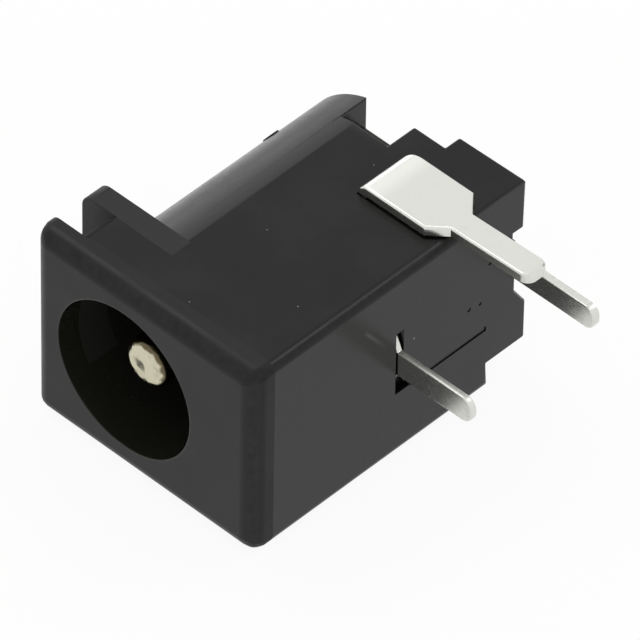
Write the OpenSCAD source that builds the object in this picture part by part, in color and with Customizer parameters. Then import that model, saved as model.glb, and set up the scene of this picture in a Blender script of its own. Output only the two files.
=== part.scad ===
// DC barrel jack for a printed circuit board: a black moulded housing with a round mouth,
// a centre pin riveted to a terminal at the back, a leaf spring under the bore that touches
// the plug's barrel, and a switch terminal that the leaf leaves when a plug goes in.
//
// The board is the plane z = 0 and the legs go down through it. The mouth's face is y = 0
// and looks towards -Y. x = 0 is the middle of the housing, and +X is the side that
// carries the switch terminal.

/* [Housing] */
// Width of the housing
housing_w = 9; // [8.6:0.1:11]
// Height of the front plate and of the rib above the board
housing_h = 11.1; // [10.9:0.1:13]
// Depth of the housing from its mouth to its back
housing_d = 14.2; // [14:0.1:18]
// Thickness of the front plate
plate_t = 1; // [0.8:0.1:1.4]
// Width of the slot between the front plate and the rib
slot_w = 1.5; // [1:0.1:1.8]
// Depth of that slot below the top of the plate
slot_depth = 1.25; // [0.8:0.05:1.5]
// Thickness of the rib
rib_t = 0.95; // [0.6:0.05:1.4]
// Radius of the edges round the front face
front_r = 0.7; // [0.3:0.05:0.9]
// Radius of the top corners of the front plate
plate_r = 0.4; // [0.2:0.05:0.9]
// Radius of the top corners of the rib
rib_r = 0.5; // [0.2:0.05:0.9]
// Radius of the shoulders inside the slot
slot_r = 0.8; // [0.2:0.05:1]
// How far the rib's sides stand proud above the middle of the bore
rib_proud = 0.03; // [0.01:0.01:0.1]
// Radius of the long edges at the bottom
bottom_r = 0.4; // [0.1:0.05:0.6]
// Height at which the flat sides turn into the round top
dome_z = 6.05; // [5.6:0.05:6.3]

/* [Back of the housing] */
// How far the round body ends in front of the lower block
body_step = 0.75; // [0.5:0.05:1]
// Height of the lower block
block_h = 3.49; // [2.5:0.05:3.5]
// Distance of the notches' front walls from the housing's back
notch_d = 2.15; // [1.2:0.05:2.2]
// Distance of the cut in the plain side from the housing's back
side_cut_d = 2; // [1.2:0.05:2.2]
// Depth of the notches into the sides
notch_in = 1.65; // [0.6:0.05:1.8]
// How far in the plain side is cut back below its notch
side_cut_in = 1.3; // [0.6:0.05:1.5]
// Height of the lower edge of the notches
notch_low_z = 5.03; // [4.5:0.05:5.5]
// Height of the upper edge of the notches
notch_top_z = 7.37; // [6.8:0.05:7.8]
// Width of the recess that the rear terminal's neck passes
recess_w = 2.65; // [2.2:0.05:3.2]
// How far the block's foot beside the switch terminal stays off the board
foot_lift = 0.2; // [0.1:0.05:0.4]
// Width of that lifted foot
foot_w = 1.65; // [1:0.05:1.9]

/* [Socket] */
// Radius of the bore that takes the plug
bore_r = 3.3; // [2.9:0.05:3.4]
// Height of the bore's axis above the board
bore_z = 6.5; // [6.3:0.05:6.8]
// Depth of the bore
bore_depth = 11; // [10.4:0.1:11.4]
// Chamfer round the mouth
mouth_chamfer = 0.06; // [0.05:0.01:0.3]
// Wall left round the bore where the slot passes over it
bore_wall = 0.6; // [0.4:0.05:0.9]

/* [Centre pin] */
// Radius of the centre pin
pin_r = 1; // [0.8:0.05:1.25]
// How far the tip of the pin lies behind the mouth
pin_setback = 1.05; // [0.6:0.05:3]
// Rounding of the pin's tip
tip_r = 0.3; // [0.1:0.05:0.5]
// Step from the free shaft to the thicker stretch that is pressed into the back wall
press_step = 0.2; // [0.2:0.05:0.4]
// Radius of the tail that goes through the rear terminal
tail_r = 0.65; // [0.4:0.05:0.75]
// Radius of the riveted head
head_r = 1.3; // [1.2:0.05:1.4]
// Thickness of the riveted head
head_t = 0.35; // [0.2:0.05:0.6]

/* [Sleeve spring] */
// Thickness of the spring
spring_t = 0.28; // [0.2:0.02:0.4]
// Distance from the mouth to the front face of the spring's leg
spring_y = 7.4; // [7.1:0.05:7.9]
// Sideways place of the spring
spring_x = 0.15; // [-0.2:0.05:0.2]
// Width of the leaf and of the shoulders in the slot
spring_w = 2.4; // [2:0.05:2.6]
// Width of the spring's leg
spring_leg_w = 1.12; // [0.8:0.02:1.6]
// Length of the spring's leg below the board
spring_leg = 3.7; // [2.5:0.1:4.5]
// Distance from the mouth to the turn of the leaf
spring_turn_y = 3; // [2.8:0.1:4]
// Height of the leaf's crest, which the plug presses down
crest_z = 3.85; // [3.75:0.05:3.95]

/* [Switch terminal] */
// Thickness of the switch terminal
switch_t = 0.4; // [0.3:0.05:0.5]
// Distance from the mouth to the front edge of the terminal
switch_y = 9.5; // [9.3:0.05:9.9]
// Width of the terminal's plate
switch_w = 2.6; // [2.2:0.02:2.7]
// Width of the terminal's leg
switch_leg_w = 1.15; // [0.8:0.05:1.5]
// Distance from the mouth to the middle of the terminal's leg
switch_leg_y = 10.71; // [10.65:0.01:10.95]
// Length of the terminal's leg below the board
switch_leg = 3.66; // [2.5:0.02:4.5]
// Lean of the leg towards the mouth
switch_lean = 1.4; // [0:0.1:2]
// Height of the shoulders' upper ends
shoulder_z = 0.8; // [0.75:0.05:1.2]
// Height of the top of the bend that turns the plate into the housing
switch_z = 4.03; // [3.9:0.01:4.1]
// Gap between the plate and the side of the housing
switch_gap = 0.1; // [0.05:0.01:0.2]
// Inner radius of the bend
bend_r = 0.1; // [0.05:0.01:0.2]
// Distance of the inner tab's end from the middle of the housing
tab_x = 0.4; // [0:0.1:0.8]

/* [Rear terminal] */
// Thickness of the rear terminal
rear_t = 0.33; // [0.25:0.01:0.5]
// Distance from the back wall to the terminal, where the pin's shoulder holds it
rear_gap = 0.4; // [0.1:0.05:0.5]
// Width of the round plate
rear_w = 3; // [2.6:0.1:3.6]
// Width of the neck below the plate
neck_w = 1.2; // [1.1:0.05:1.3]
// Width of the terminal's leg
rear_leg_w = 1.04; // [0.7:0.02:1.1]
// Length of the terminal's leg below the board
rear_leg = 3.62; // [2.5:0.02:4.5]
// Sideways place of the neck and the leg
rear_leg_x = 0.28; // [0.2:0.02:0.4]

/* [Fits] */
// Clearance between the stampings and the walls of their slots
sheet_gap = 0.06; // [0.03:0.01:0.1]

/* [Hidden] */
$fn = 64;

// How far a cut runs past the surface that it opens
over = 1;

half_w = housing_w / 2;
slot_floor_z = housing_h - slot_depth;
rib_y = plate_t + slot_w;
barrel_y = rib_y + rib_t;
body_back = housing_d - body_step;

// Pocket under the bore, and the slot that the spring's leg leaves it by
pocket_w = spring_w + 0.7;
pocket_floor_z = 1.5;
pocket_y = spring_turn_y - 0.4;
leg_slot_w = spring_w + 0.65;
leg_relief = 0.35;

// Groove in the bottom, from a notch beside the leg's slot towards the back
groove_w = 0.14;
groove_d = 0.3;
groove_x = spring_x - leg_slot_w / 2 + groove_w / 2;
groove_notch = [0.45, 0.8];
groove_end_gap = 0.1;

// Leaf of the spring: it lies on the pocket's floor, turns up at the front and comes back
leg_bend_r = 0.2;
turn_r = 0.75;
leaf_start = [spring_turn_y + turn_r, pocket_floor_z + 2 * turn_r - spring_t / 2];
crest = [spring_y + 0.2, crest_z - spring_t / 2];
tab_z = switch_z - switch_t;
leaf_rest = [switch_y + 0.2, tab_z - spring_t / 2];
leaf_end_y = switch_y + 0.9;
pocket_end_y = max(bore_depth, leaf_end_y + 0.6);
leaf_steps = 10;

// Switch terminal
switch_x = half_w + switch_gap;
leg_tip_r = 0.4;
plate_corner = 0.3;
coin_h = 0.45;
coin_t = 0.22;

// Rear terminal and its recess
rear_y = body_back + rear_gap;
recess_x = rear_leg_x + 0.6;
recess_gap = 0.25;
recess_y = rear_y - recess_gap;
recess_slant = 0.9;

// Mark that the moulding's gate leaves on the round top
gate_r = 0.35;
gate_h = 0.07;
gate_y = 10.85;
gate_angle = 55;

module along_x(from, to)
    translate([from, 0, 0]) rotate([90, 0, 90]) linear_extrude(to - from) children();

module along_y(from, to)
    translate([0, to, 0]) rotate([90, 0, 0]) linear_extrude(to - from) children();

// Cylinder along the housing's depth
module round_y(from, to, r)
    translate([0, from, 0]) rotate([-90, 0, 0]) cylinder(h = to - from, r = r);

// Rectangle between two corners
module rect(low, high) translate(low) square(high - low);

// Rectangle between two corners, with its upper corners round
module round_top(low, high, r) {
    rect(low, [high.x, high.y - r]);
    rect([low.x + r, low.y], [high.x - r, high.y]);
    for (x = [low.x + r, high.x - r]) translate([x, high.y - r]) circle(r);
}

// Rectangle between two corners, with all its corners round
module round_rect(low, high, r) {
    rect([low.x, low.y + r], [high.x, high.y - r]);
    rect([low.x + r, low.y], [high.x - r, high.y]);
    for (x = [low.x + r, high.x - r], y = [low.y + r, high.y - r]) translate([x, y]) circle(r);
}

// Leg of a terminal in its own outline, with a round tip below the board
module leg(x, width, length, r, top)
    translate([x, top]) mirror([0, 1]) round_top([-width / 2, 0], [width / 2, top + length], r);

// Part of a bent strip: a quarter ring in the quadrant that the two signs give
module quarter(centre, inner_r, t, quadrant) {
    outer_r = inner_r + t;
    intersection() {
        translate(centre) difference() {
            circle(outer_r);
            circle(inner_r);
        }
        translate(centre) mirror([quadrant.x < 0 ? 1 : 0, 0]) mirror([0, quadrant.y < 0 ? 1 : 0])
            square(outer_r + 0.01);
    }
}

// ---- Housing ----

// Cross-section behind the rib: flat sides under a half round
module arch() {
    rect([-half_w, 0], [half_w, dome_z]);
    translate([0, dome_z]) circle(half_w);
}

// Cross-section in the slot, closed over the bore
module slot_section() {
    round_top([-half_w, 0], [half_w, slot_floor_z], slot_r);
    translate([0, bore_z]) circle(bore_r + bore_wall);
}

// Cross-section of the rib, a little wider above the bore's middle
module rib_section() {
    round_rect([-half_w, 0], [half_w, bore_z + over], bottom_r);
    round_top([-half_w - rib_proud, bore_z], [half_w + rib_proud, housing_h], rib_r);
}

// Block whose front edges and long bottom edges are round
module envelope() {
    intersection() {
        along_y(-over, housing_d + over)
            round_rect([-half_w, 0], [half_w, housing_h + over], bottom_r);
        linear_extrude(housing_h)
            round_rect([-half_w, 0], [half_w, housing_d + over], front_r);
        along_x(-half_w, half_w)
            round_rect([0, 0], [housing_d + over, housing_h], front_r);
    }
}

module gate_mark()
    translate([0, gate_y, dome_z]) rotate([0, 90 - gate_angle, 0])
        cylinder(h = half_w + gate_h, r = gate_r);

module socket_cut() translate([0, 0, bore_z]) {
    round_y(-over, bore_depth, bore_r);
    round_y(bore_depth - over, housing_d, pin_r + press_step);
    translate([0, -0.01, 0]) rotate([-90, 0, 0])
        cylinder(h = mouth_chamfer + 0.01, r1 = bore_r + mouth_chamfer + 0.01, r2 = bore_r);
}

module spring_cuts() {
    translate([-pocket_w / 2, pocket_y, pocket_floor_z])
        cube([pocket_w, pocket_end_y - pocket_y, bore_z - bore_r / 2 - pocket_floor_z]);
    along_x(spring_x - leg_slot_w / 2, spring_x + leg_slot_w / 2) {
        rect([spring_y - sheet_gap, -over], [spring_y + spring_t + sheet_gap, pocket_floor_z + over]);
        rect([spring_y - leg_relief, pocket_floor_z - leg_relief], [spring_y, pocket_floor_z + over]);
    }
}

module groove_cut() {
    slot_end_y = spring_y + spring_t + sheet_gap;
    translate([groove_x - groove_w / 2, slot_end_y, -over])
        cube([groove_w, housing_d - side_cut_d - groove_end_gap - slot_end_y, groove_d + over]);
    translate([groove_x - groove_w / 2, spring_y - sheet_gap, -over])
        cube([groove_notch.x, groove_notch.y, groove_d + over]);
}

module switch_cut()
    translate([tab_x - 2 * sheet_gap, switch_y - sheet_gap, tab_z - sheet_gap])
        cube([housing_w, switch_w + 2 * sheet_gap, switch_t + 2 * sheet_gap]);

module back_cuts() {
    notch_y = housing_d - notch_d;
    notch_x = half_w - notch_in;
    // Notches in both sides, over the step that the body's back makes
    for (side = [0, 1]) mirror([side, 0, 0]) translate([notch_x, notch_y, notch_low_z])
        cube([notch_in + over, notch_d + over, notch_top_z - notch_low_z]);
    // The plain side is cut back from its notch down to the board
    translate([-half_w - over, housing_d - side_cut_d, -over])
        cube([side_cut_in + over, side_cut_d + over, notch_low_z + 2 * over]);
    // The other side's foot is lifted off the board, at its end as far as the recess
    translate([half_w - foot_w, notch_y, -over]) cube([housing_w, notch_d + over, foot_lift + over]);
    translate([recess_x + recess_w / 2 - over, recess_y, -over])
        cube([housing_w, body_step + over, foot_lift + over]);
    // The round body ends in front of the lower block
    translate([-half_w - over, body_back, block_h])
        cube([housing_w + 2 * over, body_step + over, housing_h]);
    // Recess in the lower block for the rear terminal's neck, one side cut at a slant
    recess_d = housing_d - recess_y;
    translate([recess_x - recess_w / 2, recess_y, -over]) linear_extrude(block_h + 2 * over)
        polygon([[0, 0], [recess_w, 0], [recess_w, recess_d + over], [-recess_slant, recess_d + over],
            [-recess_slant, recess_d]]);
}

module housing() color([0.11, 0.11, 0.11]) difference() {
    union() {
        intersection() {
            envelope();
            union() {
                along_y(0, plate_t) round_top([-half_w, 0], [half_w, housing_h], plate_r);
                along_y(plate_t, rib_y) slot_section();
                along_y(barrel_y, housing_d) arch();
            }
        }
        along_y(rib_y, barrel_y) rib_section();
        gate_mark();
    }
    socket_cut();
    spring_cuts();
    groove_cut();
    switch_cut();
    back_cuts();
}

// ---- Centre pin ----

// Turned pin: round tip, free shaft, the thicker stretch in the back wall, a thin tail
// through the terminal and a riveted head
module centre_pin() color([0.8, 0.8, 0.78])
    translate([0, 0, bore_z]) rotate([-90, 0, 0]) rotate_extrude() {
        rect([0, pin_setback], [pin_r - tip_r, rear_y]);
        rect([0, pin_setback + tip_r], [pin_r, rear_y]);
        rect([0, bore_depth], [pin_r + press_step, rear_y]);
        intersection() {
            translate([pin_r - tip_r, pin_setback + tip_r]) circle(tip_r);
            rect([0, pin_setback], [pin_r, pin_setback + tip_r]);
        }
        rect([0, rear_y - 0.01], [tail_r, rear_y + rear_t + 0.01]);
        rect([0, rear_y + rear_t], [head_r, rear_y + rear_t + head_t]);
    }

// ---- Rear terminal ----

// Flat stamping: a round plate on the pin's tail, a neck, and the leg
module rear_terminal() color([0.78, 0.78, 0.76])
    along_y(rear_y, rear_y + rear_t) difference() {
        union() {
            translate([0, bore_z]) circle(rear_w / 2);
            rect([rear_leg_x - neck_w / 2, shoulder_z], [rear_leg_x + neck_w / 2, bore_z]);
            translate([rear_leg_x, 0]) leg(0, rear_leg_w, rear_leg, rear_leg_w * 0.4, shoulder_z + over);
        }
        translate([0, bore_z]) circle(tail_r);
    }

// ---- Sleeve spring ----

// Height of the leaf's middle at a distance from the mouth: up to the crest, down to the tab
function ease(t) = (1 - cos(180 * t)) / 2;
function leaf_z(y) = y < crest.x
    ? leaf_start.y + (crest.y - leaf_start.y) * ease((y - leaf_start.x) / (crest.x - leaf_start.x))
    : crest.y + (leaf_rest.y - crest.y) * ease(min(1, (y - crest.x) / (leaf_rest.x - crest.x)));

module spring_side() {
    floor_top = pocket_floor_z + spring_t;
    leg_front = spring_y - leg_bend_r;
    // Leg, bend, and the strip along the pocket's floor
    rect([spring_y, -spring_leg], [spring_y + spring_t, pocket_floor_z - leg_bend_r]);
    quarter([leg_front, pocket_floor_z - leg_bend_r], leg_bend_r, spring_t, [1, 1]);
    rect([spring_turn_y + turn_r, pocket_floor_z], [leg_front, floor_top]);
    // Turn at the front
    for (side = [-1, 1]) quarter([spring_turn_y + turn_r, pocket_floor_z + turn_r],
        turn_r - spring_t, spring_t, [-1, side]);
    // Leaf
    rise = [for (i = [0:leaf_steps]) leaf_start.x + (crest.x - leaf_start.x) * i / leaf_steps];
    fall = [for (i = [1:leaf_steps]) crest.x + (leaf_rest.x - crest.x) * i / leaf_steps];
    ys = concat(rise, fall, [leaf_end_y]);
    last = len(ys) - 1;
    polygon(concat(
        [for (y = ys) [y, leaf_z(y) - spring_t / 2]],
        [for (i = [last:-1:0]) [ys[i], leaf_z(ys[i]) + spring_t / 2]]));
}

module sleeve_spring() color([0.75, 0.74, 0.7]) intersection() {
    along_x(spring_x - spring_w, spring_x + spring_w) spring_side();
    along_y(0, housing_d) translate([spring_x, 0]) {
        rect([-spring_w / 2, 0], [spring_w / 2, housing_h]);
        leg(0, spring_leg_w, spring_leg, spring_leg_w * 0.4, over);
    }
}

// ---- Switch terminal ----

module switch_section() {
    rect([switch_x, -switch_leg], [switch_x + switch_t, tab_z - bend_r]);
    quarter([switch_x - bend_r, tab_z - bend_r], bend_r, switch_t, [1, 1]);
    rect([tab_x, tab_z], [switch_x - bend_r, switch_z]);
}

// Outline of the terminal from its side: plate, 45 degree shoulders and leaning leg
module switch_outline() {
    low_y = switch_leg_y - switch_leg_w / 2;
    high_y = switch_leg_y + switch_leg_w / 2;
    end_y = switch_y + switch_w;
    top = switch_z + over;
    polygon([[switch_y, top], [switch_y, shoulder_z], [low_y, shoulder_z - low_y + switch_y],
        [high_y, shoulder_z - end_y + high_y], [end_y, shoulder_z],
        [end_y, switch_z - plate_corner - switch_t], [end_y - plate_corner, switch_z - switch_t],
        [end_y - plate_corner, top]]);
    translate([switch_leg_y, shoulder_z]) rotate([0, 0, -switch_lean])
        leg(0, switch_leg_w, switch_leg + shoulder_z, leg_tip_r, 0);
}

module switch_terminal() color([0.86, 0.86, 0.85]) difference() {
    intersection() {
        along_y(0, housing_d) switch_section();
        along_x(0, housing_w) switch_outline();
    }
    // Coined slant at the tip of the leg
    outer_x = switch_x + switch_t;
    along_y(0, housing_d) polygon([[outer_x, coin_h - switch_leg], [switch_x + coin_t, -switch_leg],
        [switch_x + coin_t, -switch_leg - over], [outer_x + over, -switch_leg - over],
        [outer_x + over, coin_h - switch_leg]]);
}

housing();
centre_pin();
rear_terminal();
sleeve_spring();
switch_terminal();
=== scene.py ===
import math
import bpy
from mathutils import Matrix, Vector


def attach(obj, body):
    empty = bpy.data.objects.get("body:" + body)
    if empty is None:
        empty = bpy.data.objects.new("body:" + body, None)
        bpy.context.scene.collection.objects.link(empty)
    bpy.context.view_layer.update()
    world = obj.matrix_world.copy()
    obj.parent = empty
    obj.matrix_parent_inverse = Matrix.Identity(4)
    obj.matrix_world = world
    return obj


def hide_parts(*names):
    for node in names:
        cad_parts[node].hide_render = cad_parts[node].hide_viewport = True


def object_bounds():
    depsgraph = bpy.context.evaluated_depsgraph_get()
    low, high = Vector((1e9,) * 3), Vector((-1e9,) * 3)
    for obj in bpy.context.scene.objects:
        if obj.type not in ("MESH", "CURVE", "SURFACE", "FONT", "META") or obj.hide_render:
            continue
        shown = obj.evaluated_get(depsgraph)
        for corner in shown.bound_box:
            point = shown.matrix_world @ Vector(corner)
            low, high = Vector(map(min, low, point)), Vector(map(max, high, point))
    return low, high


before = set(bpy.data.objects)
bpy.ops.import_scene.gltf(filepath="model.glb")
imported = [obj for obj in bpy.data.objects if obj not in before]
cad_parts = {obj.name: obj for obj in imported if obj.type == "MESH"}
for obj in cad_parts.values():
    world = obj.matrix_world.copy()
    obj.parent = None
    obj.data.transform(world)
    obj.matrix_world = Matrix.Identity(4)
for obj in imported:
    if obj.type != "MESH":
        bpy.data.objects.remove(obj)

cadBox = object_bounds()

# The jack lies on its plain side: the table is a plane across X, under the lowest X.
# Sizes of the pieces are in millimetres, and become metres where a piece is made.
# In the tests that pick edges, a and b are an edge's ends, and normals or n those of the faces beside it.
mm = 0.001
near = 0.002  # two places closer than this, in millimetres, count as one
out = 2.0  # how far a cutting tool runs past the surface that it opens
lap = 0.1  # how far one cutting tool reaches into the next


# Camera

view = {
    "place": (0.279757, -0.199672, -0.191560),  # metres
    "forward": (-0.701241, 0.518516, 0.489288),
    "up": (0.712802, 0.497207, 0.494670),
    "lens": 621.8,
    "sensor": 36.0,
    "clip": (0.01, 5.0),
}


def addCamera():
    data = bpy.data.cameras.new("camera")
    data.lens = view["lens"]
    data.sensor_width = view["sensor"]
    data.clip_start, data.clip_end = view["clip"]
    camera = bpy.data.objects.new("camera", data)
    bpy.context.collection.objects.link(camera)
    forward = Vector(view["forward"]).normalized()
    right = forward.cross(Vector(view["up"])).normalized()
    turn = Matrix((right, right.cross(forward), -forward)).transposed()
    camera.matrix_world = Matrix.Translation(view["place"]) @ turn.to_4x4()
    bpy.context.scene.camera = camera


addCamera()
print("camera placed")


# Modelling helpers

def selectOnly(piece):
    bpy.ops.object.select_all(action="DESELECT")
    bpy.context.view_layer.objects.active = piece
    piece.select_set(True)


def addBox(name, low, high):
    bpy.ops.object.select_all(action="DESELECT")
    low, high = Vector(low), Vector(high)
    bpy.ops.mesh.primitive_cube_add(size=1, location=(low + high) / 2 * mm)
    box = bpy.context.object
    box.name = name
    box.scale = (high - low) * mm
    bpy.ops.object.transform_apply(location=True, rotation=True, scale=True)
    return box


def addRod(name, radius, start, end, sides=128):
    # a round bar from the point start to the point end
    bpy.ops.object.select_all(action="DESELECT")
    start, end = Vector(start), Vector(end)
    along = end - start
    bpy.ops.mesh.primitive_cylinder_add(
        vertices=sides, radius=radius * mm, depth=along.length * mm,
        location=(start + end) / 2 * mm, rotation=along.to_track_quat("Z", "X").to_euler())
    rod = bpy.context.object
    rod.name = name
    bpy.ops.object.transform_apply(location=True, rotation=True, scale=True)
    return rod


def pickFaces(piece, test):
    # goes to edit mode with only the faces selected that pass test(middle, normal)
    selectOnly(piece)
    bpy.ops.object.mode_set(mode="EDIT")
    bpy.ops.mesh.select_mode(type="FACE")
    bpy.ops.mesh.select_all(action="DESELECT")
    bpy.ops.object.mode_set(mode="OBJECT")
    for face in piece.data.polygons:
        face.select = bool(test(face.center / mm, face.normal))
    bpy.ops.object.mode_set(mode="EDIT")


def pickEdges(piece, test):
    # goes to edit mode with only the edges selected that pass test(end, otherEnd, normals)
    selectOnly(piece)
    bpy.ops.object.mode_set(mode="EDIT")
    bpy.ops.mesh.select_mode(type="EDGE")
    bpy.ops.mesh.select_all(action="DESELECT")
    bpy.ops.object.mode_set(mode="OBJECT")
    mesh = piece.data
    sides = {}
    for face in mesh.polygons:
        for key in face.edge_keys:
            sides.setdefault(key, []).append(face.normal)
    for edge in mesh.edges:
        a, b = (mesh.vertices[i].co / mm for i in edge.vertices)
        edge.select = bool(test(a, b, sides.get(edge.key, [])))
    bpy.ops.object.mode_set(mode="EDIT")


def pickAll(piece):
    pickFaces(piece, lambda middle, normal: True)


def leaveEdit():
    bpy.ops.object.mode_set(mode="OBJECT")


def extrude(offset):
    bpy.ops.mesh.extrude_region_move(TRANSFORM_OT_translate={"value": Vector(offset) * mm})


def slidePicked(x, y):
    bpy.ops.transform.translate(value=(x * mm, y * mm, 0))
    leaveEdit()


def bisectAll(piece, point, normal, keepInner=False):
    # splits all faces along a plane, and can take off what lies past it
    pickAll(piece)
    bpy.ops.mesh.bisect(plane_co=[c * mm for c in point], plane_no=normal,
                        clear_outer=keepInner, use_fill=keepInner)
    leaveEdit()


def bevelPicked(width, segments, clamp=True):
    bpy.ops.mesh.bevel(offset=width * mm, segments=segments, affect="EDGES", clamp_overlap=clamp)
    leaveEdit()


def combine(piece, tool, operation):
    # cuts, joins or meets the piece with the tool, and deletes the tool
    modifier = piece.modifiers.new("combine", "BOOLEAN")
    modifier.operation = operation
    modifier.solver = "EXACT"
    modifier.object = tool
    selectOnly(piece)
    bpy.ops.object.modifier_apply(modifier=modifier.name)
    bpy.data.objects.remove(tool)


def cut(piece, tool):
    combine(piece, tool, "DIFFERENCE")


def isSharp(normals, degrees=35):
    return len(normals) == 2 and normals[0].angle(normals[1], 0) > math.radians(degrees)


def spans(a, b, axis):
    # the edge from a to b runs for more than a millimetre along the axis "x", "y" or "z"
    return abs(getattr(a, axis) - getattr(b, axis)) > 1


def mergeFaces(piece):
    # merges doubles and joins faces in one plane
    pickAll(piece)
    bpy.ops.mesh.remove_doubles(threshold=0.001 * mm)
    bpy.ops.mesh.dissolve_limited(angle_limit=math.radians(0.3))
    bpy.ops.mesh.normals_make_consistent(inside=False)
    leaveEdit()


def finishPiece(piece, isCrease=None):
    # smooth where faces meet at less than 32 degrees, but not along a crease, and flat faces stay flat
    selectOnly(piece)
    bpy.ops.object.shade_smooth_by_angle(angle=math.radians(32))
    if isCrease:
        pickEdges(piece, isCrease)
        bpy.ops.mesh.mark_sharp()
        leaveEdit()
    modifier = piece.modifiers.new("normals", "WEIGHTED_NORMAL")
    modifier.keep_sharp = True
    modifier.weight = 100
    bpy.ops.object.modifier_apply(modifier=modifier.name)


def hangOnFrame(piece, node):
    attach(piece, "root")
    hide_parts(node)


# Housing: one moulding with a plate in front, a slot, a rib, a round barrel and a stepped back

housingSizes = {
    "halfWidth": 4.5,
    "height": 11.1,
    "depth": 14.2,
    "frontRadius": 0.7,
    "plateRadius": 0.4,
    "bottomRadius": 0.4,
    "plate": 1.0,
    "ribFront": 2.5,
    "ribBack": 3.45,
    "ribEdge": 0.04,
    "ribRadius": 0.55,
    "ribTool": (2.0, 4.0),  # front and back of the tool that rounds the rib
    "slotFloor": 9.68,
    "slotRadius": 0.45,
    "crown": 3.9,  # radius of what is left over the bore, in the slot
    "domeHeight": 5.985,  # height of the barrel's middle
    "domeRadius": 4.55,
    "bore": 3.3,  # radius
    "boreHeight": 6.5,
    "boreDepth": 11.0,
    "boreRim": 0.06,
    "pressFit": 1.2,
    "bodyBack": 13.45,
    "notchFront": 12.05,
    "notchIn": 1.65,
    "notchLow": 5.03,
    "notchTop": 7.37,
    "sideCutFront": 12.2,
    "sideCutIn": 1.3,
    "blockHeight": 3.49,
    "recess": (-0.445, 2.205),
    "recessFront": 13.6,
    "recessSlant": 0.9,
    "footLift": 0.2,
    "footWidth": 1.65,
    "footSlant": 12.9,  # how far back the slanted inner wall of the foot's step runs
    "footSkew": 1.66,  # how far the step's front comes forward on its way to the side
    "backEdge": 0.1,
    "shortestEdge": 0.15,  # a shorter one isn't rounded
    "shadeLine": 0.4,  # an edge round the body, this far before the notches, keeps the shading even
    "gateRadius": 0.35,
    "gateHeight": 0.05,
    "gateDepth": 10.85,
    "gateAngle": 55,
    "gateStart": 0.9,  # where the nub starts, as a share of the way to its tip
}


def makeBlock(s):
    # the block with round front edges and softer long edges
    half, depth, height = s["halfWidth"], s["depth"], s["height"]
    block = addBox("housingBody", (-half, 0, 0), (half, depth, height))
    layer = block.data.attributes.new("bevel_weight_edge", "FLOAT", "EDGE")
    for edge in block.data.edges:
        a, b = (block.data.vertices[i].co / mm for i in edge.vertices)
        if a.y < near and b.y < near:
            layer.data[edge.index].value = 1
        elif abs(a.y - b.y) > near and a.z > near:
            layer.data[edge.index].value = s["plateRadius"] / s["frontRadius"]
        elif abs(a.y - b.y) > near:
            layer.data[edge.index].value = s["bottomRadius"] / s["frontRadius"]
    modifier = block.modifiers.new("edges", "BEVEL")
    modifier.width = s["frontRadius"] * mm
    modifier.segments = 10
    modifier.limit_method = "WEIGHT"
    selectOnly(block)
    bpy.ops.object.modifier_apply(modifier=modifier.name)
    return block


def roundTopBox(name, low, high, radius):
    # a box whose two upper long edges, along Y, are round
    box = addBox(name, low, high)
    pickEdges(box, lambda a, b, n: min(a.z, b.z) > high[2] - near and abs(a.y - b.y) > near)
    bevelPicked(radius, 10)
    return box


def cutFront(body, s):
    half, height, depth, radius = s["halfWidth"], s["height"], s["depth"], s["bore"]
    wide, top, axis, dome = half + out, height + out, s["boreHeight"], s["domeHeight"]
    # above the round barrel, behind the rib
    roof = addBox("roof", (-wide, s["ribBack"], dome), (wide, depth + out, top))
    cut(roof, addRod("barrel", s["domeRadius"], (0, -out, dome), (0, depth + 2 * out, dome), sides=192))
    cut(body, roof)
    # the slot keeps a core with round shoulders, closed over the bore
    slot = addBox("slot", (-wide, s["plate"], s["slotFloor"] - s["slotRadius"] - lap),
                  (wide, s["ribFront"], top))
    cut(slot, roundTopBox("core", (-half, -out, 0), (half, depth, s["slotFloor"]), s["slotRadius"]))
    cut(slot, addRod("crown", s["crown"], (0, -out, axis), (0, depth, axis)))
    cut(body, slot)
    # the rib's upper corners are round and its edges soft
    ribTop = height - s["ribRadius"]
    front, back = s["ribTool"]
    corners = addBox("corners", (-wide, front, ribTop), (wide, back, top))
    cut(corners, roundTopBox("rib", (-half, front - 1, axis), (half, back + 1, height), s["ribRadius"]))
    cut(body, corners)
    ribMiddle = (s["ribFront"] + s["ribBack"]) / 2

    def isRibEdge(a, b, normals):
        onFace = abs(a.y - b.y) < near and s["ribFront"] - near < a.y < s["ribBack"] + near
        inFront = a.y < ribMiddle and max(a.z, b.z) > s["slotFloor"]
        onSide = inFront and min(abs(a.x), abs(b.x)) > half - near
        return isSharp(normals) and onFace and (onSide or min(a.z, b.z) > ribTop - near)

    pickEdges(body, isRibEdge)
    bevelPicked(s["ribEdge"], 2, clamp=False)
    # bore, with a narrow rim at the mouth, and the press fit of the pin behind it
    cut(body, addRod("bore", radius, (0, -out, axis), (0, s["boreDepth"], axis), sides=160))

    def isMouth(a, b, normals):
        fromAxis = math.hypot(a.x, a.z - axis)
        return isSharp(normals) and max(a.y, b.y) < near and fromAxis < radius + near

    pickEdges(body, isMouth)
    bevelPicked(s["boreRim"], 2, clamp=False)
    pressFront, pressBack = s["boreDepth"] - out, depth + out
    cut(body, addRod("press", s["pressFit"], (0, pressFront, axis), (0, pressBack, axis), sides=64))


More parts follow.
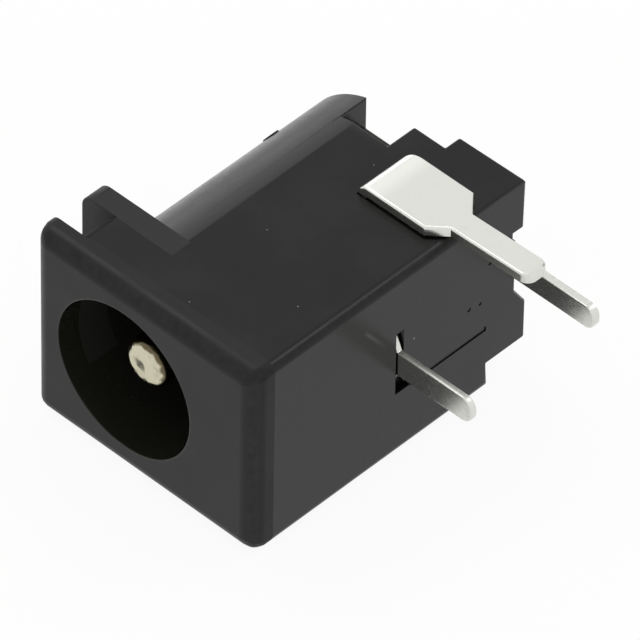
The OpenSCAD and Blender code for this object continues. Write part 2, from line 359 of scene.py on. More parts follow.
def cutBack(body, s):
    half, depth, top, front = s["halfWidth"], s["depth"], s["height"] + out, s["notchFront"]
    wide, back, inner = half + out, depth + out, half - s["notchIn"]
    for side in (-1, 1):
        low, high = sorted((side * inner, side * wide))
        cut(body, addBox("notch", (low, front, s["notchLow"]), (high, back, s["notchTop"])))
    cut(body, addBox("sideCut", (-wide, s["sideCutFront"], -out),
                     (s["sideCutIn"] - half, back, s["notchLow"] + 0.01)))
    cut(body, addBox("step", (-wide, s["bodyBack"], s["blockHeight"]), (wide, back, top)))
    # the foot is lifted beside the recess, up to a slanted wall
    low, high = s["recess"]
    foot = addBox("foot", (high - lap, front, -out), (wide, back, s["footLift"]))
    bisectAll(foot, (0, s["footSlant"], 0), (0, 1, 0))
    pickEdges(foot, lambda a, b, n: spans(a, b, "z") and a.x < high and a.y < front + near)
    slidePicked(half - s["footWidth"] - high + lap, 0)
    pickEdges(foot, lambda a, b, n: spans(a, b, "z") and a.x > half and a.y < front + near)
    slidePicked(0, -s["footSkew"])
    cut(body, foot)
    # the recess has one slanted side
    recess = addBox("recess", (low, s["recessFront"], -out), (high, depth, s["blockHeight"] + out))
    pickEdges(recess, lambda a, b, n: spans(a, b, "z") and a.x < low + near and a.y > depth - near)
    slidePicked(-s["recessSlant"], 0)
    pickFaces(recess, lambda middle, normal: normal.y > 0.9)
    extrude((0, out, 0))
    leaveEdit()
    cut(body, recess)
    mergeFaces(body)

    def isBackEdge(a, b, normals):
        return isSharp(normals) and min(a.y, b.y) > front - near and (a - b).length > s["shortestEdge"]

    pickEdges(body, isBackEdge)
    bevelPicked(s["backEdge"], 3, clamp=False)


slotSizes = {
    "boxes": {
        "tab": ((0.28, 9.44, 3.57), (9, 12.16, 4.09)),  # slot in the side for the switch terminal
        "leg": ((-1.375, 7.34, -1), (1.675, 7.74, 1.6)),  # slot in the bottom for the spring's leg
        "relief": ((-1.375, 7.05, 1.15), (1.675, 7.4, 1.6)),
        "pocket": ((-1.62, 2.6, 1.5), (1.62, 10.95, 4.85)),  # the spring's room under the bore
        "notch": ((-1.375, 7.34, -1), (-0.925, 8.14, 0.3)),
        "groove": ((-1.44, 8.1, -1), (-1.2, 12.1, 0.045)),
    },
    "pits": (((0.26, 11.16), 0.1), ((0.16, 11.74), 0.08), ((1.9, 12.2), 0.1)),  # marks of the moulding
    "pitDepth": 0.03,
    "pitSides": 7,
}


def cutSlots(body):
    for name, (low, high) in slotSizes["boxes"].items():
        cut(body, addBox(name, low, high))
    depth, sides = slotSizes["pitDepth"], slotSizes["pitSides"]
    for (x, y), radius in slotSizes["pits"]:
        cut(body, addRod("pit", radius, (x, y, -1), (x, y, depth), sides))


def addGate(body, s):
    # the low nub on the barrel where the plastic ran in
    angle = math.radians(s["gateAngle"])
    reach = s["domeRadius"] + s["gateHeight"]
    middle = Vector((0, s["gateDepth"], s["domeHeight"]))
    tip = middle + Vector((math.cos(angle), 0, math.sin(angle))) * reach
    gate = addRod("gate", s["gateRadius"], middle + (tip - middle) * s["gateStart"], tip, sides=24)
    pickEdges(gate, lambda a, b, n: min((a - middle).length, (b - middle).length) > reach)
    bevelPicked(s["gateHeight"] / 2, 3)
    combine(body, gate, "UNION")


def makeHousing():
    s = housingSizes
    body = makeBlock(s)
    cutFront(body, s)
    cutBack(body, s)
    addGate(body, s)
    cutSlots(body)
    mergeFaces(body)
    bisectAll(body, (0, s["notchFront"] - s["shadeLine"], 0), (0, 1, 0))
    half = s["halfWidth"]
    crease = s["domeHeight"] + math.sqrt(s["domeRadius"] ** 2 - half ** 2)

    def isCrease(a, b, normals):
        # where the barrel leaves the sides; its facets put this edge a little off the circle
        onSide = min(abs(a.x), abs(b.x)) > half - 0.01
        atHeight = max(abs(a.z - crease), abs(b.z - crease)) < 0.06
        return onSide and atHeight and spans(a, b, "y")

    finishPiece(body, isCrease)
    return body


housing = makeHousing()
hangOnFrame(housing, "housing")
print("housing modelled:", len(housing.data.polygons), "faces")


# Switch terminal: a bent stamping, its outline cut from a strip with a rolled outer edge

switchSizes = {
    "outer": 5.0,
    "thick": 0.4,
    "tabEnd": 0.4,
    "bendOuter": 0.5,
    "bendInner": 0.1,
    "top": 4.03,
    "sides": (9.5, 12.1),
    "shoulder": 0.8,
    "leg": 1.15,
    "legMiddle": 10.71,
    "tip": -3.66,
    "lean": 0.09,
    "cornerRadius": 0.8,
    "cornerRise": 0.12,  # the outline's corner lies this far above the sheet
    "tipRadius": 0.42,
    "rolled": 0.11,
    "coinHeight": 0.45,
    "coinDepth": 0.18,
    "spare": 1.0,  # how far the strip and the outline that trims it run past each other
}


def makeSwitchTerminal():
    s = switchSizes
    low, high = s["sides"]
    outer, top, spare = s["outer"], s["top"], s["spare"]
    inner, under = outer - s["thick"], top - s["thick"]
    # the bent strip, seen from its edge
    strip = addBox("switchTerminal", (inner, low - spare, s["tip"] - spare), (outer, high + spare, top))
    bisectAll(strip, (0, 0, under), (0, 0, 1))
    pickFaces(strip, lambda middle, normal: normal.x < -0.9 and middle.z > under)
    extrude((s["tabEnd"] - inner, 0, 0))
    leaveEdit()
    pickEdges(strip, lambda a, b, n: min(a.x, b.x) > outer - near and min(a.z, b.z) > top - near)
    bevelPicked(s["bendOuter"], 10)

    def isInnerBend(a, b, normals):
        atBend = abs(a.x - inner) < near and abs(b.x - inner) < near and abs(a.z - under) < near
        return atBend and abs(a.z - b.z) < near and abs(a.y - b.y) > near

    pickEdges(strip, isInnerBend)
    bevelPicked(s["bendInner"], 4)
    # its outline, seen from the side: plate, shoulders, leaning leg with a round tip
    outline = addBox("outline", (-spare, low, s["shoulder"]), (outer + spare, high, top + s["cornerRise"]))
    pickFaces(outline, lambda middle, normal: normal.z < -0.9)
    drop = (high - low - s["leg"]) / 2
    extrude((0, s["legMiddle"] - (low + high) / 2, -drop))
    bpy.ops.transform.resize(value=(1, s["leg"] / (high - low), 1),
                             center_override=(0, s["legMiddle"] * mm, 0))
    extrude((0, s["lean"], s["tip"] - s["shoulder"] + drop))
    leaveEdit()
    pickEdges(outline, lambda a, b, n: max(a.z, b.z) < s["tip"] + near and spans(a, b, "x"))
    bevelPicked(s["tipRadius"], 8)
    pickEdges(outline, lambda a, b, n: min(a.z, b.z) > top and min(a.y, b.y) > high - near
              and spans(a, b, "x"))
    bevelPicked(s["cornerRadius"], 8)
    combine(strip, outline, "INTERSECT")
    # the tip is coined on its outer side
    slant = Vector((s["coinHeight"], 0, -s["coinDepth"])).normalized()
    bisectAll(strip, (outer, 0, s["tip"] + s["coinHeight"]), slant, keepInner=True)
    mergeFaces(strip)

    def isRolled(a, b, normals):
        facingOut = [n for n in normals if n.x > 0.6]
        return isSharp(normals) and len(facingOut) == 1

    pickEdges(strip, isRolled)
    bevelPicked(s["rolled"], 5, clamp=False)
    finishPiece(strip)
    return strip


switchTerminal = makeSwitchTerminal()
hangOnFrame(switchTerminal, "switch_terminal")
print("switch terminal modelled:", len(switchTerminal.data.polygons), "faces")


# Sleeve spring: a strip that rises through the bottom, turns along the pocket and comes back as a leaf

springSizes = {
    "middle": 0.15,
    "width": 2.4,
    "thick": 0.28,
    "front": 7.4,  # front face of the leg
    "leg": 1.12,
    "tip": -3.7,
    "tipRadius": 0.5,
    "shoulder": 0.23,
    "shoulderSlope": 0.22,
    "floor": 1.5,
    "bend": 0.2,
    "turnStart": 3.75,
    "turn": 0.75,
    "crest": (7.6, 3.71),
    "end": (10.4, 3.49),
    "bendSteps": 6,
    "turnSteps": 12,
    "leafSteps": 8,
    "edge": 0.05,
    "edgeTop": 0.5,  # the sharp edges are softened up to this height
}


def makeSleeveSpring():
    s = springSizes
    x, back = s["middle"], s["front"] + s["thick"]
    bendMiddle = Vector((0, s["front"] - s["bend"], s["floor"] - s["bend"]))
    strip = addBox("sleeveSpring", (x - s["width"] / 2, s["front"], s["shoulder"]),
                   (x + s["width"] / 2, back, bendMiddle.z))
    # bend to the front, along the pocket's floor, and the turn that comes back over it
    pickFaces(strip, lambda middle, normal: normal.z > 0.9)
    bpy.ops.mesh.spin(steps=s["bendSteps"], angle=math.radians(-90),
                      center=bendMiddle * mm, axis=(1, 0, 0))
    extrude((0, s["turnStart"] - bendMiddle.y, 0))
    turnMiddle = Vector((0, s["turnStart"], s["floor"] + s["turn"]))
    bpy.ops.mesh.spin(steps=s["turnSteps"], angle=math.radians(180),
                      center=turnMiddle * mm, axis=(1, 0, 0))
    # the leaf rises to its crest and falls to its end
    startHeight = s["floor"] + 2 * s["turn"] - s["thick"] / 2
    stops = [(s["turnStart"], startHeight), s["crest"], s["end"]]
    steps = s["leafSteps"]
    for (y, z), (nextY, nextZ) in zip(stops, stops[1:]):
        done = 0
        for step in range(1, steps + 1):
            share = (1 - math.cos(math.pi * step / steps)) / 2
            extrude((0, (nextY - y) / steps, (nextZ - z) * (share - done)))
            done = share
    leaveEdit()
    # the leg leaves the strip between two sloping shoulders
    pickFaces(strip, lambda middle, normal: normal.z < -0.9 and middle.z < s["shoulder"] + near)
    extrude((0, 0, -s["shoulderSlope"]))
    bpy.ops.transform.resize(value=(s["leg"] / s["width"], 1, 1), center_override=(x * mm, 0, 0))
    extrude((0, 0, s["tip"] - s["shoulder"] + s["shoulderSlope"]))
    leaveEdit()
    pickEdges(strip, lambda a, b, n: max(a.z, b.z) < s["tip"] + near and abs(a.y - b.y) > near)
    bevelPicked(s["tipRadius"], 8)
    mergeFaces(strip)
    pickEdges(strip, lambda a, b, n: isSharp(n, 50) and max(a.z, b.z) < s["edgeTop"])
    bevelPicked(s["edge"], 3)
    finishPiece(strip)
    return strip


sleeveSpring = makeSleeveSpring()
hangOnFrame(sleeveSpring, "sleeve_spring")
print("sleeve spring modelled:", len(sleeveSpring.data.polygons), "faces")


# Rear terminal: a flat stamping, riveted on the pin's tail

rearSizes = {
    "front": 13.85,
    "thick": 0.33,
    "discRadius": 1.5,
    "discHeight": 6.5,
    "hole": 0.65,
    "neck": 1.2,
    "neckSlope": 0.08,
    "leg": 1.04,
    "middle": 0.28,
    "shoulder": 0.8,
    "tip": -3.62,
    "tipRadius": 0.41,
    "edge": 0.06,
}


def makeRearTerminal():
    s = rearSizes
    back = s["front"] + s["thick"]
    x = s["middle"]
    blank = addBox("rearTerminal", (x - s["neck"] / 2, s["front"], s["shoulder"]),
                   (x + s["neck"] / 2, back, s["discHeight"]))
    pickFaces(blank, lambda middle, normal: normal.z < -0.9)
    extrude((0, 0, -s["neckSlope"]))
    bpy.ops.transform.resize(value=(s["leg"] / s["neck"], 1, 1), center_override=(x * mm, 0, 0))
    extrude((0, 0, s["tip"] - s["shoulder"] + s["neckSlope"]))
    leaveEdit()
    pickEdges(blank, lambda a, b, n: max(a.z, b.z) < s["tip"] + near and abs(a.y - b.y) > near)
    bevelPicked(s["tipRadius"], 8)
    axis = s["discHeight"]
    disc = addRod("disc", s["discRadius"], (0, s["front"], axis), (0, back, axis), sides=96)
    combine(blank, disc, "UNION")
    cut(blank, addRod("hole", s["hole"], (0, s["front"] - out, axis), (0, back + out, axis), sides=48))
    mergeFaces(blank)

    def isFrontEdge(a, b, normals):
        onFront = any(n.y < -0.9 for n in normals)
        return isSharp(normals, 50) and onFront and math.hypot(a.x, a.z - axis) > s["hole"] + near

    pickEdges(blank, isFrontEdge)
    bevelPicked(s["edge"], 3)
    finishPiece(blank)
    return blank


rearTerminal = makeRearTerminal()
hangOnFrame(rearTerminal, "rear_terminal")
print("rear terminal modelled:", len(rearTerminal.data.polygons), "faces")


# Centre pin: a turned bar with a rounded tip, a tail through the terminal and a riveted head

pinSizes = {
    "radius": 1.0,
    "height": 6.5,
    "front": 1.05,
    "tipRadius": 0.3,
    "press": (11.0, 13.85),
    "pressRadius": 1.2,
    "tailRadius": 0.65,
    "headFront": 14.18,
    "headBack": 14.53,
    "headRadius": 1.3,
    "headEdge": 0.16,
}


def makePin():
    s = pinSizes
    z = s["height"]
    pin = addRod("centrePin", s["radius"], (0, s["front"], z), (0, s["press"][0], z), sides=96)
    pickFaces(pin, lambda middle, normal: normal.y > 0.9)
    stages = (
        (s["pressRadius"] / s["radius"], s["press"][1] - s["press"][0]),
        (s["tailRadius"] / s["pressRadius"], s["headFront"] - s["press"][1]),
        (s["headRadius"] / s["tailRadius"], s["headBack"] - s["headFront"]),
    )
    for size, length in stages:
        bpy.ops.mesh.extrude_region_move()
        bpy.ops.transform.resize(value=(size, 1, size), center_override=(0, 0, z * mm))
        extrude((0, length, 0))
    leaveEdit()
    pickEdges(pin, lambda a, b, n: max(a.y, b.y) < s["front"] + near)
    bevelPicked(s["tipRadius"], 8)
    pickEdges(pin, lambda a, b, n: min(a.y, b.y) > s["headBack"] - near)
    bevelPicked(s["headEdge"], 5)
    mergeFaces(pin)
    finishPiece(pin)
    return pin


centrePin = makePin()
hangOnFrame(centrePin, "centre_pin")
print("centre pin modelled:", len(centrePin.data.polygons), "faces")


# Shader wiring

class Wire:
    # an output of a node; arithmetic on wires adds Math nodes
    def __init__(self, tree, socket=None):
        self.tree = tree
        self.socket = socket

    def node(self, kind, settings=None, values=None, output=0):
        # adds any node: its settings first, then the values or wires of its sockets
        made = self.tree.nodes.new(kind)
        for name, value in (settings or {}).items():
            setattr(made, name, value)
        for name, value in (values or {}).items():
            if isinstance(value, Wire):
                self.tree.links.new(value.socket, made.inputs[name])
            else:
                made.inputs[name].default_value = value
        return Wire(self.tree, made.outputs[output]) if len(made.outputs) else None

    def math(self, operation, *others):
        # a Math node on this wire, and on the other wires or numbers after it
        return self.node("ShaderNodeMath", {"operation": operation}, dict(enumerate((self, *others))))

    def mathAfter(self, other, operation):
        # a Math node whose first value is the other and whose second is this wire
        return self.node("ShaderNodeMath", {"operation": operation}, {0: other, 1: self})

    def __add__(self, other):
        return self.math("ADD", other)

    __radd__ = __add__

    def __sub__(self, other):
        return self.math("SUBTRACT", other)

    def __rsub__(self, other):
        return self.mathAfter(other, "SUBTRACT")

    def __mul__(self, other):
        return self.math("MULTIPLY", other)

    __rmul__ = __mul__

    def __truediv__(self, other):
        return self.math("DIVIDE", other)

    def __rtruediv__(self, other):
        return self.mathAfter(other, "DIVIDE")

    def __abs__(self):
        return self.math("ABSOLUTE")

    def between(self, low, high):
        # 0 below low, 1 above high, smooth between
        return self.node("ShaderNodeMapRange", {"interpolation_type": "SMOOTHSTEP"},
                         {"Value": self, "From Min": low, "From Max": high})

    def parts(self):
        split = self.tree.nodes.new("ShaderNodeSeparateXYZ")
        self.tree.links.new(self.socket, split.inputs[0])
        return [Wire(self.tree, socket) for socket in split.outputs]


def newMaterial(name):
    material = bpy.data.materials.new(name)
    material.use_nodes = True
    material.node_tree.nodes.clear()
    return material, Wire(material.node_tree)


def mixColor(factor, first, second):
    # a Mix node's sockets 6 and 7 are its two colours, and its output 2 is the mixed one
    return factor.node("ShaderNodeMix", {"data_type": "RGBA"}, {0: factor, 6: first, 7: second}, output=2)


def noise(place, size, detail=2.0, roughness=0.5):
    # size is the width of the noise's blobs in millimetres
    return place.node("ShaderNodeTexNoise", None,
                      {"Vector": place, "Scale": 1 / (size * mm), "Detail": detail, "Roughness": roughness})


def cells(place, size, output):
    return place.node("ShaderNodeTexVoronoi", {"feature": "F1"},
                      {"Vector": place, "Scale": 1 / (size * mm)}, output)


def band(value, low, high, fade):
    # 1 between low and high, fading to 0 at each end
    return value.between(low, low + fade) * (1 - value.between(high - fade, high))


def stretched(place, x, y, z):
    # the place with its axes scaled, so that a pattern runs long along the small ones
    return place.node("ShaderNodeMapping", None, {"Vector": place, "Scale": (x, y, z)})


def coordinates(start):
    # the place on the piece and the surface's direction, without the sign of its parts
    place = start.node("ShaderNodeTexCoord", output="Object")
    normal = start.node("ShaderNodeTexCoord", output="Normal")
    return place, [abs(part) for part in normal.parts()]


def bump(height, depth, normal=None):
    # depth in millimetres for a height from 0 to 1
    values = {"Height": height, "Distance": depth * mm}
    if normal:
        values["Normal"] = normal
    return height.node("ShaderNodeBump", None, values)


def closeMaterial(material, start, constants, color, roughness, normal):
    values = {"Base Color": color, "Roughness": roughness, "Normal": normal}
    values.update(constants)
    shader = start.node("ShaderNodeBsdfPrincipled", None, values)
    start.node("ShaderNodeOutputMaterial", None, {"Surface": shader})
    return material


# Black moulded plastic: spark-eroded grain, flow clouds, edges lighter from wear and painted highlight, a
# little dust, painted light on the rib and in the bore, and a painted reflection of the spring's leg

plasticLook = {
    "color": (0.0035, 0.0036, 0.0036, 1),
    "cloud": (0.006, 0.006, 0.0058, 1),
    # the edges' lighter colour is partly wear and partly a painted highlight
    "edgeWearAndSheen": (0.012, 0.012, 0.0115, 1),
    # painted sheen: the rib's colour is lighter where its faces catch more light
    "rib": (0.014, 0.014, 0.0135, 1),
    # painted light inside the bore: its colour is lighter to brighten the dark hollow
    "bore": (0.013, 0.013, 0.010, 1),
    "dust": (0.33, 0.33, 0.31, 1),
    "roughness": 0.26,
    "frontRoughness": 0.41,
    "edgeRoughness": 0.56,  # at the lower back edge of the front's rounding
    "ribRoughness": 0.5,
    "slotRoughness": 0.8,
    "dustRoughness": 0.3,  # this one adds to the roughness under the dust
    "cloudRoughness": 0.07,
    "grainRoughness": 0.08,
    "edgeWearAndSheenShare": 0.7,
    "rubbedShine": 0.06,
    "scuffShine": 0.05,
    "specular": 0.25,
    "grainSize": 0.06,  # this and the other sizes are millimetres across
    "waveSize": 0.9,
    "cloudSize": 2.6,
    "edgeWearAndSheenSize": 0.35,
    "scuffSize": 0.12,
    "scuffStretch": 0.12,
    "cloudRange": (0.35, 0.7),  # this and the other ranges are the part of the noise that is used
    "edgeWearAndSheenRange": (0.35, 0.65),
    "scuffRange": (0.66, 0.8),
    "dustSize": 0.75,  # cell that may hold one speck
    "dustShare": 0.2,  # share of the cells that hold one
    "speckRadius": (0.03, 0.06),
    "speckChange": 0.035,
    "raggedSize": 0.05,
    "raggedness": 0.09,
    "grainDepth": 0.0012,
    "waveDepth": 0.0035,
    "edge": (0.03, 0.2),  # how far a surface leans from all three axes before it counts as an edge
    "mouth": (11.2, 11.6),  # squared millimetres from the bore's axis, where its rim ends
    "frontEnd": (1.06, 1.1),  # these are the places in millimetres where a finish fades into the next
    "rounding": (0.3, 0.5),
    "lowEdge": (0.2, 0.5),
    "ribLow": (6.5, 6.6),
    "slotLow": (9.2, 9.3),
    "ribFade": 0.02,
    "slotFade": 0.05,
}

legReflectionLook = {  # a painted reflection of the spring's leg: a lighter streak on the bottom, before the leg
    "color": (0.05, 0.05, 0.045, 1),
    "share": 0.8,
    "start": (0.71, 7.34),
    "direction": (0.8, -0.6),
    "length": 2.7,
    "thinEnd": (0.2, 0.9),  # shares of the length
    "thickEnd": (0.93, 1.03),
    "halfWidth": (0.02, 0.11),
    "waviness": 0.06,
    "waveSize": 0.4,
    "height": (0.0, 0.02),
}


# a painted reflection of the spring's leg, as a lighter streak on the bottom face
def paintedLegReflection(place, x, y, z):
    look = legReflectionLook
    fromX, fromY = x - look["start"][0], y - look["start"][1]
    toX, toY = look["direction"]
    along = (fromX * toX + fromY * toY) / look["length"]
    wave = (noise(place, look["waveSize"]) - 0.5) * look["waviness"]
    across = abs(fromY * toX - fromX * toY + wave)
    ends = along.between(*look["thinEnd"]) * (1 - along.between(*look["thickEnd"]))
    return (1 - across.between(*look["halfWidth"])) * ends * (1 - z.between(*look["height"]))


def dustSpecks(place, look):
    # in some of the cells, one ragged speck of its own size
    luck, size, _ = cells(place, look["dustSize"], "Color").parts()
    rim = size * look["speckChange"] + (noise(place, look["raggedSize"]) - 0.5) * look["raggedness"]
    ragged = cells(place, look["dustSize"], "Distance") + rim
    return (1 - ragged.between(*look["speckRadius"])) * luck.math("LESS_THAN", look["dustShare"])


def makePlastic():
    look, sizes = plasticLook, housingSizes
    material, start = newMaterial("blackPlastic")
    place, (nx, ny, nz) = coordinates(start)
    x, y, z = (part / mm for part in place.parts())
    edge = (1 - nx.math("MAXIMUM", ny.math("MAXIMUM", nz))).between(*look["edge"])
    grain = noise(place, look["grainSize"], roughness=0.6)
    wave = noise(place, look["waveSize"])
    cloud = noise(place, look["cloudSize"], 3.0, 0.55).between(*look["cloudRange"])
    drawnOut = stretched(place, 1, look["scuffStretch"], 1)
    scuff = noise(drawnOut, look["scuffSize"], roughness=0.7).between(*look["scuffRange"])
    # the roundings are painted lighter in blotches: partly wear, partly a painted highlight along the edges
    edgeWearAndSheen = edge * noise(place, look["edgeWearAndSheenSize"], 3.0, 0.6).between(*look["edgeWearAndSheenRange"])
    speck = dustSpecks(place, look)
    # the parts of the housing that have a finish of their own; the rib and the bore are also painted
    # lighter, as painted light
    height = z - sizes["boreHeight"]
    away = (x * x + height * height).between(*look["mouth"])
    front = away * (1 - y.between(*look["frontEnd"]))
    lowBack = front * y.between(*look["rounding"]) * (1 - z.between(*look["lowEdge"]))
    fade = look["ribFade"]
    onRib = band(y, sizes["ribFront"] - fade, sizes["ribBack"] + fade, fade)
    rib = away * onRib * z.between(*look["ribLow"])
    slot = band(y, sizes["plate"], sizes["ribFront"], look["slotFade"]) * z.between(*look["slotLow"])
    color = mixColor(cloud, look["color"], look["cloud"])
    color = mixColor(edgeWearAndSheen * look["edgeWearAndSheenShare"], color, look["edgeWearAndSheen"])
    color = mixColor(speck, color, look["dust"])
    # painted reflection of the spring's leg on the bottom face
    color = mixColor(paintedLegReflection(place, x, y, z) * legReflectionLook["share"], color, legReflectionLook["color"])
    # inside the bore the colour is painted lighter: painted light in the dark hollow
    color = mixColor(1 - away, color, look["bore"])
    # the rib is painted lighter: painted sheen
    color = mixColor(rib, color, look["rib"])
    roughness = (look["roughness"] + front * (look["frontRoughness"] - look["roughness"])
                 + rib * (look["ribRoughness"] - look["roughness"])
                 + slot * (look["slotRoughness"] - look["roughness"])
                 + lowBack * (look["edgeRoughness"] - look["frontRoughness"]))
    roughness = (roughness + (cloud - 0.5) * look["cloudRoughness"]
                 + (grain - 0.5) * look["grainRoughness"] + speck * look["dustRoughness"]
                 - edgeWearAndSheen * look["rubbedShine"] - scuff * look["scuffShine"])
    surface = bump(grain, look["grainDepth"], bump(wave, look["waveDepth"]))
    constants = {"Specular IOR Level": look["specular"]}
    return closeMaterial(material, start, constants, color, roughness, surface)


# Tin-plated sheet: bright faces with faint rolling lines, sheared edges duller, and a painted highlight
# high on the sheet, towards the switch terminal's bend

tinLook = {
    "color": (0.71, 0.71, 0.67, 1),
    "stain": (0.60, 0.60, 0.56, 1),
    "bendHighlight": (0.82, 0.83, 0.78, 1),
    "sheared": (0.52, 0.51, 0.48, 1),
    "roughness": 0.24,
    "shearedRoughness": 0.3,
    "lineRoughness": 0.06,
    "stainRoughness": 0.08,
    "stainShare": 0.5,
    "shearedShare": 0.6,
    "lineSize": 0.035,  # this and the other sizes are millimetres across
    "lineStretch": 0.06,
    "waveSize": 0.8,
    "stainSize": 0.45,
    "stainRange": (0.52, 0.75),
    "grooveSize": 0.05,
    "grooveStretch": 0.1,
    "grooveRange": (0.3, 0.7),
    "shearedFacing": (0.75, 0.95),  # how squarely an edge has to face its axis
    "lineDepth": 0.0006,
    "waveDepth": 0.004,
    "bendHighlightHeight": (2.6, 3.5),  # the height in millimetres over which the sheet is painted brighter: a painted highlight towards the bend
}


def makeMetal(name, look, edgeAxis):
    # edgeAxis is the axis, 0 to 2, that the sheared edges face
    material, start = newMaterial(name)
    place, facing = coordinates(start)
    lines = noise(stretched(place, 1, 1, look["lineStretch"]), look["lineSize"], roughness=0.6)
    wave = noise(place, look["waveSize"])
    stain = noise(place, look["stainSize"], 4.0, 0.65).between(*look["stainRange"])
    sheared = facing[edgeAxis].between(*look["shearedFacing"])
    drawnOut = stretched(place, 1, look["grooveStretch"], 1)
    grooves = noise(drawnOut, look["grooveSize"]).between(*look["grooveRange"])
    # painted highlight: the sheet is lighter above a height, towards the bend
    paintedBendHighlight = (place.parts()[2] / mm).between(*look["bendHighlightHeight"]) * (1 - sheared)
    color = mixColor(stain * look["stainShare"], look["color"], look["stain"])
    color = mixColor(paintedBendHighlight, color, look["bendHighlight"])
    color = mixColor(sheared * grooves * look["shearedShare"], color, look["sheared"])
    roughness = (look["roughness"] + (lines - 0.5) * look["lineRoughness"] + stain * look["stainRoughness"]
                 + sheared * (look["shearedRoughness"] - look["roughness"]))
    surface = bump(lines, look["lineDepth"], bump(wave, look["waveDepth"]))
    return closeMaterial(material, start, {"Metallic": 1.0}, color, roughness, surface)


# Pin: turned and nickel-plated, with turning marks round its axis, and a painted reflection of the dark
# bore on its shaft near the tip

pinLook = {
    "color": (0.60, 0.57, 0.425, 1),
    "worn": (0.5, 0.43, 0.30, 1),
    "boreReflection": (0.07, 0.05, 0.02, 1),
    "wornShare": 0.45,
    "boreReflectionShare": 0.9,
    "roughness": 0.2,
    "ringRoughness": 0.1,
    "wornRoughness": 0.12,
    "ringSize": 0.08,  # this and the other sizes are millimetres across
    "ringSquash": (0.004, 3),  # across and along the axis, so that the noise runs round it
    "wornSize": 0.3,
    "wornRange": (0.5, 0.72),
    "rimSize": 0.35,
    "rimWaviness": 0.35,
    "rim": (0.78, 0.9),  # millimetres from the axis
    "rimBack": (1.5, 1.9),  # millimetres behind the housing's front
    "facetSize": 0.6,
    "facetSmoothness": 0.35,
    "ringDepth": 0.0012,
    "facetDepth": 0.09,
}


def makePinMetal():
    look = pinLook
    material, start = newMaterial("turnedPin")
    place, _ = coordinates(start)
    centred = start.node("ShaderNodeMapping", None,
                         {"Vector": place, "Location": (0, 0, -pinSizes["height"] * mm)})
    x, y, z = centred.parts()
    radius = (x * x + z * z).math("SQRT") / mm
    acrossAxis, alongAxis = look["ringSquash"]
    turned = start.node("ShaderNodeCombineXYZ", None, {"X": radius * acrossAxis, "Y": y * alongAxis})
    rings = noise(turned, look["ringSize"], roughness=0.6)
    worn = noise(place, look["wornSize"], 4.0, 0.6).between(*look["wornRange"])
    uneven = (noise(place, look["rimSize"]) - 0.5) * look["rimWaviness"]
    # painted reflection: the shaft near the tip is dark brown where it mirrors the dark bore
    rim = (radius + uneven).between(*look["rim"]) * (1 - (y / mm).between(*look["rimBack"]))
    color = mixColor(worn * look["wornShare"], look["color"], look["worn"])
    color = mixColor(rim * look["boreReflectionShare"], color, look["boreReflection"])
    roughness = look["roughness"] + (rings - 0.5) * look["ringRoughness"] + worn * look["wornRoughness"]
    facets = start.node("ShaderNodeTexVoronoi", {"feature": "SMOOTH_F1"},
                        {"Vector": place, "Scale": 1 / (look["facetSize"] * mm),
                         "Smoothness": look["facetSmoothness"]})
    surface = bump(rings, look["ringDepth"], bump(facets, look["facetDepth"]))
    return closeMaterial(material, start, {"Metallic": 1.0}, color, roughness, surface)


def dress(piece, material):
    piece.data.materials.clear()
    piece.data.materials.append(material)


blackPlastic = makePlastic()
# the sheared edges of the switch terminal face along Y, those of the other two stampings along X
tinSheet = makeMetal("tinSheet", tinLook, edgeAxis=1)
tinSpring = makeMetal("tinSpring", tinLook, edgeAxis=0)
turnedPin = makePinMetal()
dressing = (
    (housing, "housing", blackPlastic),
    (switchTerminal, "switch_terminal", tinSheet),
    (rearTerminal, "rear_terminal", tinSpring),
    (sleeveSpring, "sleeve_spring", tinSpring),
    (centrePin, "centre_pin", turnedPin),
)
for piece, node, material in dressing:
    dress(piece, material)
    dress(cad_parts[node], material)
print("materials made")


# Table, backdrop and light

studio = {
    "tableDrop": 0.05,  # millimetres under the lowest side of the jack
    "tableSize": 0.5,  # metres, as are the places of the table's and the lamps' middles
    "tableMiddle": (0.007, 0.005),
    "tableColor": (0.9, 0.9, 0.88, 1),
    "backdrop": 1.0,
    "ambient": 0.85,
    "shadowShare": 0.08,
    "lamps": (  # directions, metres across, watts
        ((0.81, 0.52, -0.28), 0.09, 0.045),
        ((0.87, 0.05, 0.49), 0.09, 0.08),
        ((0.28, 0.52, 0.81), 0.15, 0.042),
    ),
    "lampMiddle": (0, 0.007, 0.004),
    "lampAway": 0.25,
}


def backdropShown(start, *rays):
    # 1 for the kinds of ray that see the plain white backdrop
    total = sum(start.node("ShaderNodeLightPath", output=ray) for ray in rays)
    return total.math("MINIMUM", 1)


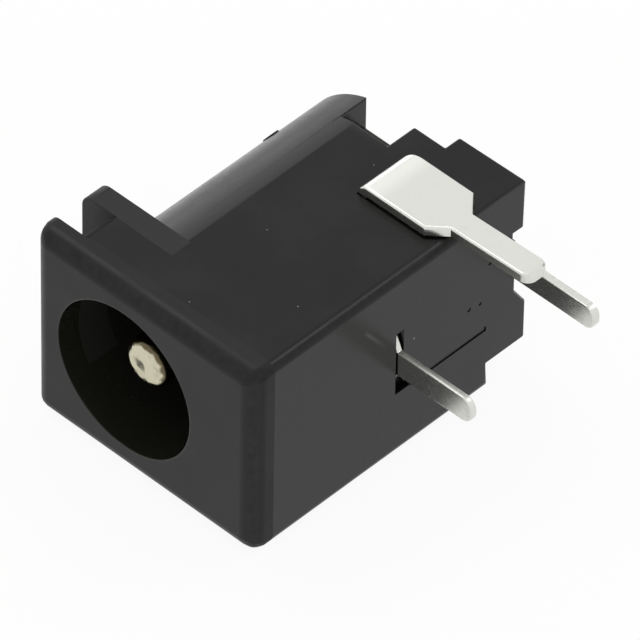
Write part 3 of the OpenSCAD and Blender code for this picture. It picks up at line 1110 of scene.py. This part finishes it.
def makeTable():
    bpy.ops.object.select_all(action="DESELECT")
    lowest = cadBox[0][0] - studio["tableDrop"] * mm
    bpy.ops.mesh.primitive_plane_add(size=studio["tableSize"], location=(lowest, *studio["tableMiddle"]),
                                     rotation=(0, math.pi / 2, 0))
    table = bpy.context.object
    table.name = "table"
    material, start = newMaterial("paleTable")
    lit = start.node("ShaderNodeBsdfDiffuse", None, {"Color": studio["tableColor"]})
    white = start.node("ShaderNodeEmission", None, {"Color": (1, 1, 1, 1), "Strength": studio["backdrop"]})
    shown = backdropShown(start, "Is Camera Ray", "Is Glossy Ray") * (1 - studio["shadowShare"])
    front = start.node("ShaderNodeMixShader", None, {0: shown, 1: lit, 2: white})
    clear = start.node("ShaderNodeBsdfTransparent")
    behind = start.node("ShaderNodeNewGeometry", output="Backfacing")
    surface = start.node("ShaderNodeMixShader", None, {0: behind, 1: front, 2: clear})
    start.node("ShaderNodeOutputMaterial", None, {"Surface": surface})
    dress(table, material)


def makeWorld():
    world = bpy.data.worlds.new("studio")
    bpy.context.scene.world = world
    world.use_nodes = True
    tree = world.node_tree
    tree.nodes.clear()
    start = Wire(tree)
    shown = backdropShown(start, "Is Camera Ray", "Is Glossy Ray", "Is Transmission Ray")
    strength = studio["ambient"] + shown * (studio["backdrop"] - studio["ambient"])
    light = start.node("ShaderNodeBackground", None, {"Color": (1, 1, 1, 1), "Strength": strength})
    start.node("ShaderNodeOutputWorld", None, {"Surface": light})


def addLamp(direction, size, power):
    # a soft lamp over the jack, for the light along its upper edges
    data = bpy.data.lights.new("lamp", "AREA")
    data.size = size
    data.energy = power
    lamp = bpy.data.objects.new("lamp", data)
    bpy.context.collection.objects.link(lamp)
    away = Vector(direction).normalized()
    lamp.rotation_euler = away.to_track_quat("Z", "Y").to_euler()
    lamp.location = Vector(studio["lampMiddle"]) + away * studio["lampAway"]


makeTable()
makeWorld()
for lamp in studio["lamps"]:
    addLamp(*lamp)
bpy.context.scene.view_settings.view_transform = "Standard"
print("table and light set")
